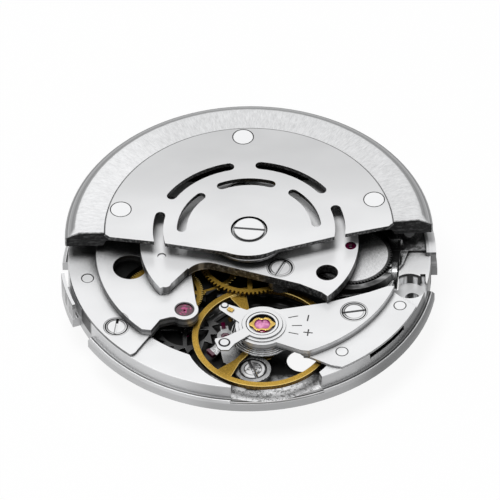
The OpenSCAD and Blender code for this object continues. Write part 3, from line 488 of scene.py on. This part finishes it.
def bridge_shade(paint, tone, x, y, z, up, side, fine):
    """Two-toned step painted as light and shade, with painted shade on floors in recesses and in a ring round
    the escape wheel's jewel.
    """
    floor = up * z.under(LEDGE_TOP - 0.08, LEDGE_TOP - 0.03)
    ring = outline(x, y, ESCAPE_JEWEL, 0.63, 0.09) * up
    tone = stepped(tone, z, side, LEDGE_TOP + 0.01, BRIDGE_TOP - 0.05)
    return tone.dimmed(floor, 0.9).dimmed(ring, 0.95)


def barrel_bridge_shade(paint, tone, x, y, z, up, side, fine):
    """Recess under the crown wheel painted black as shade, a polished ring round it with painted reflections,
    mottled land beside the stem, and painted shade in the bridge's hole.
    """
    from_crown = away_from(x, y, CROWN)
    recess = from_crown.under(CROWN_RECESS_R, CROWN_RECESS_R + 0.04)
    ring = (1.0 - recess) * from_crown.under(CROWN_RING_R, CROWN_RING_R + 0.05)
    gleam = paint.patches(((y - CROWN[1]) * 0.9, x * 0.5, 0.0), 2.0, 0.5, 0.42, 0.6)
    in_hole = away_from(x, y, BRIDGE_HOLE).under(0.8, 0.85)
    beside_stem = x.over(9.3, 9.5) * y.under(1.2, 2.4) * (1.0 - ring) * (1.0 - recess)
    blots = paint.patches((x * 1.1, y * 1.1, z * 1.1), 5.0, 0.8, 0.4, 0.56)
    sand = paint.noise(paint.joined(x, y, z), 6.0, 4.0, 0.85).over(0.36, 0.5)
    tone = tone.dimmed(recess, 0.96).covered(ring, gleam.between(0.03, 0.43))
    tone = tone.dimmed(beside_stem * (1.0 - blots), 0.85).dimmed(beside_stem * (1.0 - sand), 0.35)
    return tone.dimmed(in_hole, 0.95)


def crown_shade(paint, tone, x, y, z, up, side, fine):
    """The crown wheel's face is brushed; its walls and its toothed rim are painted near black as shade."""
    strokes = paint.patches(((x + y) * 9.0, (x - y) * 0.8, 0.0), 3.0, 0.7, 0.3, 0.7)
    grain = paint.patches((x * 7.0, y * 7.0, 0.0), 3.0, 0.8, 0.4, 0.6)
    face = strokes * 0.1 + grain * 0.16 + 0.7
    rim = away_from(x, y, CROWN).over(2.55, 2.6)
    return (up * face + (1.0 - up) * 0.05).dimmed(rim, 0.93)


def rotor_shade(paint, tone, x, y, z, up, side, fine):
    """The rotor's plate is painted a little darker towards its back as shade, with a dark line where the
    weight begins, and its walls painted dark as shade.
    """
    joint = away_from(x, y, AXIS).over(ROTOR_PLATE_R - 0.06, ROTOR_PLATE_R - 0.02) * up
    back = y.over(-2.0, 9.5) * up * 0.22
    rough = paint.patches((x * 6.0, y * 6.0, z * 6.0), 3.0, 0.8, 0.42, 0.7)
    return (tone - back).dimmed(joint, 0.93).covered(side, rough.between(0.015, 0.215))


def brushed_weight(name):
    """The rotor's weight: strokes across its ring with a painted highlight on its left, turned lines round
    its sloped rim, and cut ends painted dark as shade.
    """
    paint = new_paint(name)
    place = paint.place()
    x, y, z = paint.parts(place)
    flat, side = paint.slopes((0.93, 0.98), (0.2, 0.45))
    slope = 1.0 - flat - side
    angle = y.math("ARCTAN2", x)
    radius = away_from(x, y, AXIS)
    coarse = paint.noise(paint.joined(angle * 55.0, radius * 1.1, 0.0), 1.0, 4.0, 0.75)
    hair = paint.noise(paint.joined(angle * 260.0, radius * 2.6, 3.0), 1.0, 3.0, 0.8)
    strokes = coarse * 0.45 + hair * 0.55
    # Painted highlight on the left of the ring
    left_light = (angle - 2.75).size().under(0.2, 0.8) * 0.12
    turned = paint.patches((radius * 4.0, z * 4.0, 0.0), 3.0, 0.8, 0.35, 0.65)
    grain = paint.noise(place, 6.0, 5.0, 0.8).over(0.35, 0.7)
    blocks = paint.patches((x * 1.3, y * 1.3, z * 5.0), 3.0, 0.7, 0.5, 0.62)
    end_shade_tone = grain * 0.03 + blocks * 0.05 + 0.008
    rim = radius.over(WEIGHT_R - 0.13, WEIGHT_R - 0.07)
    side_tone = end_shade_tone.covered(rim, turned.between(0.2, 0.45))
    flat_tone = strokes.over(0.25, 0.75).between(0.52, 0.86) + left_light
    tone = by_slope(flat, side, flat_tone, side_tone, turned.between(0.2, 0.5))
    joint = (radius - ROTOR_PLATE_R - 0.03).size().under(0.015, 0.05)
    tone = tone.dimmed(joint * flat, 0.9)
    paint.put(base_color=paint.nickel(tone), metallic=slope.between(0.2, 0.6),
              roughness=side.between(0.36, 0.56), specular_ior_level=0.1)
    paint.bump(strokes * flat + turned * slope + grain * side, 0.5, 0.008)
    return paint.material


# Steel, brass and ruby

def screw_rings(heads, mottled=()):
    """Painted shade on screw heads: each has a turned ring round its flat, painted darker at the back."""
    def shade(tone, x, y, z, up):
        for centre, inner, outer in heads:
            distance = away_from(x, y, centre)
            lean = frontward(x, y, centre) / outer
            line = (distance - inner).size().under(0.02, 0.05)
            ring = distance.over(inner + 0.02, inner + 0.05) * distance.under(outer + 0.3, outer + 0.4)
            tone = tone.dimmed(line * up, 0.95 - lean.over(-0.2, 0.7) * 0.5)
            tone = tone.dimmed(ring * up, 0.55 - lean.over(-0.5, 0.5) * 0.5)
        # Painted dark reflections in patches on the listed heads
        for centre, radius in mottled:
            blots = tone.paint.patches((x * 1.4, y * 1.4, 0.0), 4.0, 0.8, 0.46, 0.56)
            tone = tone.dimmed(away_from(x, y, centre).under(radius, radius + 0.03) * blots * up, 0.85)
        return tone
    return shade


def setting_shade(tone, x, y, z, up):
    """The shock setting's floor: painted shade as a dark crescent at the back, and painted light, pale in
    front.
    """
    floor = z.under(BRIDGE_TOP + 0.01, BRIDGE_TOP + 0.11)
    front = (y - BALANCE[1]).under(-0.3, 0.1)
    return tone.covered(floor, front.between(0.03, 0.65) * up)


def polished(name, top, wall=0.12, edge=0.7, circles=(), rough=0.16, shade=None, deep=0.0, painted_streaks=False):
    """Polished steel with walls painted dark as shade; it may add painted reflection streaks and painted
    shade in crevices.
    """
    paint = new_paint(name)
    place = paint.place()
    x, y, z = paint.parts(place)
    up, side = paint.slopes()
    grain = paint.noise(place, 14.0, 3.0, 0.6)
    tone = by_slope(up, side, top, grain * 0.3 + (wall - 0.1), grain * 0.5 + (edge - 0.25))
    for centre, radius in circles:
        tone = tone.dimmed(outline(x, y, centre, radius, 0.06), 0.93)
    if shade is not None:
        tone = shade(tone, x, y, z, up)
    if painted_streaks:
        painted_sheen = paint.patches((x * 2.2, y * 2.2, z * 0.5), 3.0, 0.7, 0.46, 0.56)
        tone = tone.dimmed(painted_sheen, 0.85) + painted_sheen * up * 0.25
    if deep > 0.0:
        tone = tone * paint.crevice(depth=deep)
    paint.put(base_color=paint.nickel(tone), metallic=up.between(0.8, 0.25),
              roughness=grain.between(rough, rough + 0.08))
    return paint.material


def gilt(name, top=GILT_TOP, edge=GILT_EDGE_HIGHLIGHT, deep=0.8):
    """Gilt brass, turned, with walls painted darker as shade, broken edges painted bright as highlight, and
    painted shade in crevices.
    """
    paint = new_paint(name)
    up, side = paint.slopes()
    grain = paint.noise(paint.place(), 9.0, 5.0, 0.8)
    worn = grain.over(0.4, 0.62)
    walls = paint.mix(worn, scaled(GILT_WALL_SHADE, 0.2), scaled(GILT_WALL_SHADE, 1.3))
    tops = paint.mix(worn, scaled(top, 0.7), scaled(top, 1.15))
    colour = paint.mix(side, paint.mix(up, edge, tops), walls)
    if deep > 0.0:
        colour = paint.mix(paint.crevice(depth=deep), BLACK, colour)
    paint.put(base_color=colour, metallic=0.7, roughness=grain.between(0.3, 0.42))
    paint.bump(grain, 0.25, 0.006)
    return paint.material


def ruby(name, settings):
    """Synthetic ruby with a polished skin: painted patches of light coming back from below, darker rings
    painted as shade, a painted highlight in the middle, and a faint painted glow.
    """
    paint = new_paint(name)
    place = paint.place()
    x, y, z = paint.parts(place)
    patches = paint.noise(place, 3.2, 2.0, 0.5).over(0.5, 0.62)
    for centre, radius in settings:
        distance = away_from(x, y, centre)
        rings = (distance - radius * 0.62).size().under(0.02, 0.07)
        rings = rings + distance.over(radius - 0.1, radius - 0.04)
        patches = patches * (1.0 - rings) + distance.under(radius * 0.2, radius * 0.3) * 0.6
    paint.put(base_color=paint.mix(patches, RUBY_DEEP, RUBY_LIGHT), roughness=0.07, metallic=0.0,
              coat_weight=1.0, emission_color=paint.mix(patches, BLACK, RUBY_LIGHT), emission_strength=0.06)
    return paint.material


def pink_jewel(name):
    """The balance's end stone: pink, painted darker to its edge as shade, with a dark notch, ruby seen below
    its lower rim, and a faint painted glow.
    """
    paint = new_paint(name)
    place = paint.place()
    x, y, z = paint.parts(place)
    across = x - BALANCE[0]
    up_slope = y - BALANCE[1]
    clouds = paint.noise(place, 2.6, 2.0, 0.5).over(0.4, 0.65)
    pink = paint.mix(clouds, (0.46, 0.09, 0.27), (0.72, 0.27, 0.5))
    shaded = paint.mix(away_from(x, y, BALANCE).over(0.36, 0.56), pink, (0.24, 0.015, 0.12))
    notch = across.size().under(0.03, 0.09) * up_slope.over(0.12, 0.3)
    shaded = paint.mix(notch, shaded, (0.12, 0.0, 0.05))
    low = up_slope.under(-0.42, -0.34)
    paint.put(base_color=paint.mix(low, shaded, (0.30, 0.0, 0.05)), roughness=0.08, metallic=0.0,
              coat_weight=1.0, emission_color=paint.mix(low, pink, BLACK), emission_strength=0.12)
    return paint.material


# Place of each screw head, radius of its flat and radius of its head
SCREW_HEADS = ((COCK_SCREW, 0.66, 0.78), (LEFT_SCREW, 0.62, 0.72), (AUTO_SCREWS[0], 0.66, 0.78),
               (PLATE_SCREW, 0.6, 0.78), (AXIS, 1.06, 1.25))

FINISH = {
    "plate": plated("plate_finish", edge=0.7, crevice=WIDE, shade=plate_shade, spared=plate_pits),
    "bridge": plated("bridge_finish", top=0.85, edge=0.45, wall=(0.1, 0.3), crevice=WIDE,
                     bores=((LEFT_SCREW, LEFT_BORE_R),), circles=PIN_MARKS[:1], shade=bridge_shade),
    "barrel_bridge": plated("barrel_bridge_finish", top=0.85, edge=0.6, crevice=WIDE,
                            shade=barrel_bridge_shade),
    "cock": plated("cock_finish", top=0.82, edge=0.85, wall=(0.26, 0.42), crevice=SHALLOW,
                   bores=((COCK_SCREW, BORE_R),), circles=PIN_MARKS[1:], shade=cock_shade),
    "upper": plated("automatic_bridge_finish", top=0.84, edge=0.35, wall=(0.02, 0.2), wall_grain=3.5,
                    crevice=NARROW, bores=tuple((place, BORE_R) for place in AUTO_SCREWS),
                    shade=upper_shade),
    "rotor": plated("rotor_finish", top=0.8, wall_grain=6.0, rough=0.3,
                    circles=tuple((place, 0.72) for place in RIVETS), shade=rotor_shade),
    "weight": brushed_weight("weight_finish"),
    "screw": polished("screw_finish", 0.86, wall=0.1, edge=0.5,
                      shade=screw_rings(SCREW_HEADS, mottled=((PLATE_SCREW, 0.6),))),
    "pin": polished("pin_finish", 0.88, edge=0.5),
    "rivet": polished("rivet_finish", 0.88, edge=0.85),
    "steel": polished("steel_finish", 0.62, edge=0.6, rough=0.24, deep=0.9),
    "bright_steel": polished("bright_steel_finish", 0.82, edge=0.1,
                             circles=((INDEX_PIN, 0.34), (INDEX_PIN, 0.38), (STUD_PIN, 0.24))),
    "shock": polished("shock_block_finish", 0.86, wall=0.04, edge=0.3, shade=setting_shade),
    "fork": polished("fork_finish", 0.8, wall=0.05, edge=0.4, rough=0.15, painted_streaks=True),
    "dark_steel": polished("dark_steel_finish", 0.1, wall=0.03, edge=0.4, rough=0.2, deep=0.9),
    # Mid-grey steel for the pallet bridge, with painted reflection streaks and painted shade in crevices
    "worn_steel": polished("worn_steel_finish", 0.45, wall=0.05, edge=0.8, rough=0.2, deep=0.9, painted_streaks=True),
    "spring": polished("spring_finish", 1.0, wall=0.4, edge=1.0, rough=0.2),
    "crown": plated("crown_wheel_finish", shade=crown_shade, crevice=WIDE),
    "gilt": gilt("gilt_finish"),
    "bright_gilt": gilt("bright_gilt_finish", (0.7, 0.47, 0.12), edge=(0.95, 0.75, 0.3), deep=0.0),
    "train": gilt("train_finish", deep=0.4),
    "ruby": ruby("ruby_finish", settings=((ESCAPE_JEWEL, 0.55),)),
    "cap": pink_jewel("cap_finish"),
}

# Nodes that aren't named here have the finish called steel
NODE_FINISH = {
    "main_plate": "plate", "train_bridge": "bridge", "barrel_bridge": "barrel_bridge",
    "automatic_bridge": "upper", "balance_cock": "cock", "rotor_plate": "rotor", "rotor_weight": "weight",
    "rotor_rivets": "rivet", "locating_pins": "pin", "stud_carrier": "bright_steel",
    "regulator_index": "bright_steel", "regulator_pin": "bright_steel", "crown_wheel": "crown",
    "shock_block": "shock", "bridge_screws": "screw", "automatic_screws": "screw",
    "pallet_screws": "screw", "rotor_screw": "screw", "balance_wheel": "gilt", "centre_wheel": "train",
    "third_wheel": "train", "fourth_wheel": "train", "barrel_drum": "train", "barrel_cover": "train",
    "minute_wheel": "train", "hour_wheel": "train", "reverser_wheel": "train", "reduction_wheel": "train",
    "hairspring_stud": "bright_gilt", "lower_shock": "gilt", "plate_jewels": "ruby",
    "bridge_jewels": "ruby", "automatic_jewel": "ruby", "pallet_stones": "ruby", "impulse_jewel": "ruby",
    "escape_wheel": "dark_steel", "pallet_fork": "fork", "pallet_bridge": "worn_steel",
    "hairspring": "spring", "balance_staff": "dark_steel", "roller_table": "dark_steel",
}

# Widths of the broken edges, in mm; the other nodes have the fine one
FINE_CHAMFER = 0.015
CHAMFER = {
    "main_plate": 0.05, "train_bridge": 0.07, "barrel_bridge": 0.07, "automatic_bridge": 0.07,
    "balance_cock": 0.07, "rotor_plate": 0.04, "rotor_weight": 0.05, "bridge_screws": 0.05,
    "automatic_screws": 0.05, "pallet_screws": 0.05, "rotor_screw": 0.06, "balance_wheel": 0.055,
    "stud_carrier": 0.03, "regulator_index": 0.03, "crown_wheel": 0.02,
}


# Modelling

# Angles between faces that make one flat face, that are shown as a sharp edge and that get a chamfer
FLAT_ANGLE = math.radians(0.08)
SHARP_ANGLE = math.radians(28.0)
CHAMFER_ANGLE = math.radians(35.0)


def deselect():
    for thing in bpy.context.selected_objects:
        thing.select_set(False)


def make_active(thing):
    deselect()
    thing.select_set(True)
    bpy.context.view_layer.objects.active = thing


def add_modifier(thing, kind, **settings):
    make_active(thing)
    bpy.ops.object.modifier_add(type=kind)
    modifier = thing.modifiers[-1]
    for key, value in settings.items():
        setattr(modifier, key, value)
    bpy.ops.object.modifier_apply(modifier=modifier.name)


def finish_piece(thing, node, finish):
    """Gives a piece its finish and crisp edges, and puts it in its node's place on the node's body."""
    thing.data.materials.clear()
    thing.data.materials.append(FINISH[finish])
    make_active(thing)
    bpy.ops.object.shade_smooth()
    bpy.ops.object.mode_set(mode="EDIT")
    bpy.ops.mesh.select_mode(type="EDGE")
    bpy.ops.mesh.select_all(action="DESELECT")
    bpy.ops.mesh.edges_select_sharp(sharpness=SHARP_ANGLE)
    bpy.ops.mesh.mark_sharp()
    bpy.ops.object.mode_set(mode="OBJECT")
    add_modifier(thing, "WEIGHTED_NORMAL", weight=100, keep_sharp=True)
    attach(thing, body_of(frame["nodes"][node])[0])
    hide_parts(node)


def dress(node):
    """Makes a copy of a CAD node, with its flat faces joined and its edges broken by a small chamfer."""
    piece = bpy.data.objects.new(node + "_dressed", frame["nodes"][node].data.copy())
    bpy.context.scene.collection.objects.link(piece)
    make_active(piece)
    bpy.ops.object.mode_set(mode="EDIT")
    bpy.ops.mesh.select_all(action="SELECT")
    bpy.ops.mesh.remove_doubles(threshold=0.0005 * MM)
    bpy.ops.mesh.dissolve_limited(angle_limit=FLAT_ANGLE)
    bpy.ops.object.mode_set(mode="OBJECT")
    add_modifier(piece, "BEVEL", width=CHAMFER.get(node, FINE_CHAMFER) * MM, segments=1,
                 limit_method="ANGLE", angle_limit=CHAMFER_ANGLE, use_clamp_overlap=True, loop_slide=False)
    finish_piece(piece, node, NODE_FINISH.get(node, "steel"))


def spot(x, y, z):
    """A place of the drawing, in the frame's metres."""
    turned = Matrix.Rotation(STEM_TURN, 3, "Z") @ Vector((x, y, 0.0))
    return Vector((turned.x * MM, turned.y * MM, z * MM + SEAT))


def disc_blank(name, place, radius, height, sides):
    """A round blank, standing on its place and ready for shaping."""
    deselect()
    bpy.ops.mesh.primitive_cylinder_add(vertices=sides, radius=radius * MM, depth=height * MM,
                                        location=place + Vector((0, 0, height * MM / 2)))
    blank = bpy.context.object
    blank.name = name
    return blank


def pick(thing, test, kind="vertices"):
    """Selects, in edit mode, the vertices or faces that pass a test of their place, in mm from the
    blank's middle, and of their direction."""
    make_active(thing)
    bpy.ops.object.mode_set(mode="EDIT")
    bpy.ops.mesh.select_mode(type="VERT" if kind == "vertices" else "FACE")
    bpy.ops.mesh.select_all(action="DESELECT")
    bpy.ops.object.mode_set(mode="OBJECT")
    for part in getattr(thing.data, kind):
        middle = part.co if kind == "vertices" else part.center
        part.select = test(*(middle / MM), part.normal)
    bpy.ops.object.mode_set(mode="EDIT")


def settle(thing, turn=0.0):
    """Turns a piece into the drawing's axes and leaves its place in its mesh."""
    bpy.ops.object.mode_set(mode="OBJECT")
    thing.rotation_euler.z = turn
    make_active(thing)
    bpy.ops.object.transform_apply(location=True, rotation=True, scale=True)


def model_lyre_spring(node):
    """The spring over the balance's end stone: a flat ring with a pinched waist and two drawn-out points."""
    centre = spot(*BALANCE, SHOCK_SPRING_SEAT)
    radius = 0.72
    ring_width = 0.17
    spring = disc_blank("lyre_spring", centre, radius, 0.06, 64)
    pick(spring, lambda x, y, z, normal: abs(normal.z) > 0.9, "polygons")
    bpy.ops.mesh.inset(thickness=ring_width * MM)
    bpy.ops.mesh.bridge_edge_loops()
    for reach, squeeze in ((0.34, 0.93), (0.2, 0.88), (0.1, 0.92)):
        pick(spring, lambda x, y, z, normal: abs(x) < reach)
        bpy.ops.transform.resize(value=(1.0, squeeze, 1.0), center_override=centre)
    for side in (-1, 1):
        pick(spring, lambda x, y, z, normal: x * side > radius - 0.04)
        bpy.ops.transform.translate(value=(0.2 * side * MM, 0, 0))
        bpy.ops.transform.resize(value=(1.0, 0.45, 1.0), center_override=centre)
    settle(spring, STEM_TURN)
    add_modifier(spring, "BEVEL", width=0.018 * MM, segments=2, limit_method="ANGLE",
                 angle_limit=CHAMFER_ANGLE)
    finish_piece(spring, node, "bright_gilt")


def model_end_stone(node):
    """The balance's end stone, a low dome with facets."""
    stone = disc_blank("end_stone", spot(*BALANCE, END_STONE_SEAT), 0.66, 0.08, 48)
    for step, rise in ((0.1, 0.03), (0.14, 0.025), (0.16, 0.015)):
        pick(stone, lambda x, y, z, normal: normal.z > 0.9 and abs(x) < 0.01 and abs(y) < 0.01, "polygons")
        bpy.ops.mesh.inset(thickness=step * MM)
        bpy.ops.transform.translate(value=(0, 0, rise * MM))
    settle(stone)
    finish_piece(stone, node, "cap")


HAND_MADE = {"shock_spring": model_lyre_spring, "cap_jewel": model_end_stone}

for node_name in sorted(frame["nodes"]):
    make = HAND_MADE.get(node_name, dress)
    make(node_name)


# Camera, floor and light

def shown_white(paint, shader, white_kind, share=1.0):
    """Mixes a shader with plain white for what the camera, mirrors and glass see."""
    rays = [paint.node("ShaderNodeLightPath", output=ray)
            for ray in ("Is Camera Ray", "Is Glossy Ray", "Is Transmission Ray")]
    seen = rays[0].math("MAXIMUM", rays[1]).math("MAXIMUM", rays[2])
    white = paint.node(white_kind, None, {"Color": WHITE, "Strength": 1.0})
    return paint.node("ShaderNodeMixShader", None, {0: seen * share, 1: shader, 2: white})


def build_floor():
    """A pale floor just below the part; the share that isn't plain white keeps a soft shadow."""
    just_below = cad_box[0][2] - 0.01 * MM
    deselect()
    bpy.ops.mesh.primitive_plane_add(size=3.0, location=(0, 0, just_below))
    floor = bpy.context.object
    floor.name = "floor"
    paint = new_paint("floor_finish")
    paint.put(base_color=(0.93, 0.93, 0.93), roughness=0.9, specular_ior_level=0.0)
    out = shown_white(paint, Value(paint, paint.shader.outputs[0]), "ShaderNodeEmission", share=0.92)
    paint.fill(paint.tree.nodes["Material Output"].inputs["Surface"], out)
    floor.data.materials.append(paint.material)


def build_world():
    """A white backdrop that gives only a little light."""
    world = bpy.data.worlds.new("studio")
    bpy.context.scene.world = world
    paint = Paint(world)
    soft = paint.node("ShaderNodeBackground", None, {"Color": WHITE, "Strength": 0.22})
    out = shown_white(paint, soft, "ShaderNodeBackground")
    paint.fill(paint.tree.nodes["World Output"].inputs["Surface"], out)


def add_lamp(name, place, size, watts):
    data = bpy.data.lights.new(name, "AREA")
    data.shape = "RECTANGLE"
    data.size, data.size_y = size
    data.energy = watts
    lamp = bpy.data.objects.new(name, data)
    bpy.context.scene.collection.objects.link(lamp)
    lamp.location = place
    target = Vector((0, 0, 3.0 * MM))
    lamp.rotation_euler = (target - Vector(place)).to_track_quat("-Z", "Y").to_euler()


def build_camera():
    """Stands where the photograph was taken from, 45 degrees above the plate, with a long lens."""
    distance = 0.8
    elevation = math.radians(45.217)
    roll = math.radians(-0.754)
    away = Vector((math.cos(elevation) * math.sin(STEM_TURN), -math.cos(elevation) * math.cos(STEM_TURN),
                   math.sin(elevation)))
    data = bpy.data.cameras.new("camera")
    data.lens = 831.2
    data.sensor_width = 36.0
    data.shift_x = 0.000538
    data.shift_y = 0.053468
    data.clip_start = 0.05
    data.clip_end = 20.0
    camera = bpy.data.objects.new("camera", data)
    bpy.context.scene.collection.objects.link(camera)
    turn = (-away).to_track_quat("-Z", "Y").to_matrix().to_4x4()
    stand = Matrix.Translation(Vector((0, 0, SEAT)) + away * distance)
    camera.matrix_world = stand @ turn @ Matrix.Rotation(roll, 4, "Z")
    bpy.context.scene.camera = camera


build_floor()
build_world()
add_lamp("overhead", (-0.1, -0.04, 0.62), (0.3, 0.3), 3.4)
build_camera()
bpy.context.scene.view_settings.view_transform = "Standard"
